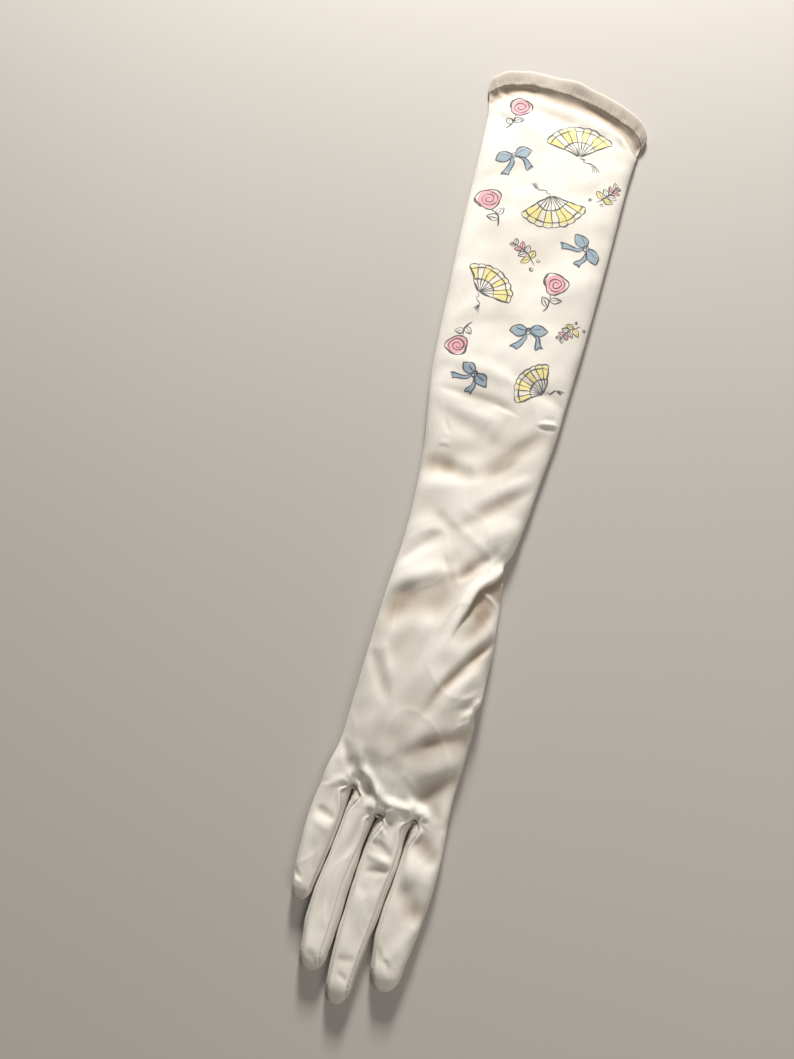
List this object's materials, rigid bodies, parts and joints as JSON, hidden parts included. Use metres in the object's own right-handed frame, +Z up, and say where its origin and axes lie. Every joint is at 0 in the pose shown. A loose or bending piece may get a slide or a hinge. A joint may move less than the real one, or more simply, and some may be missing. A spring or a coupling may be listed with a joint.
{
  "type": "long glove",
  "caption": "Long cloth dress glove for the right hand, lying flat and back up, hollow from cuff to fingertips.",
  "frame": {"origin": "on the surface that the glove lies on, under the middle of its outline", "axes": "+Y along the glove towards the cuff, -Y towards the fingertips, +Z up out of the back of the hand, +X towards the index finger"},
  "size_m": [0.1163, 0.6, 0.0174],
  "materials": {
    "cloth": "matte double-woven ivory cloth with a light print on the sleeve",
    "strip_cloth": "matte double-woven ivory cloth",
    "hem_cloth": "matte doubled ivory cloth, stitched"
  },
  "bodies": {
    "root": {"back_panel": "cloth", "palm_panel": "cloth", "fourchette_little_ring": "strip_cloth", "fourchette_ring_middle": "strip_cloth", "fourchette_middle_index": "strip_cloth", "thumb": "cloth", "hem": "hem_cloth"}
  },
  "joints": []
}
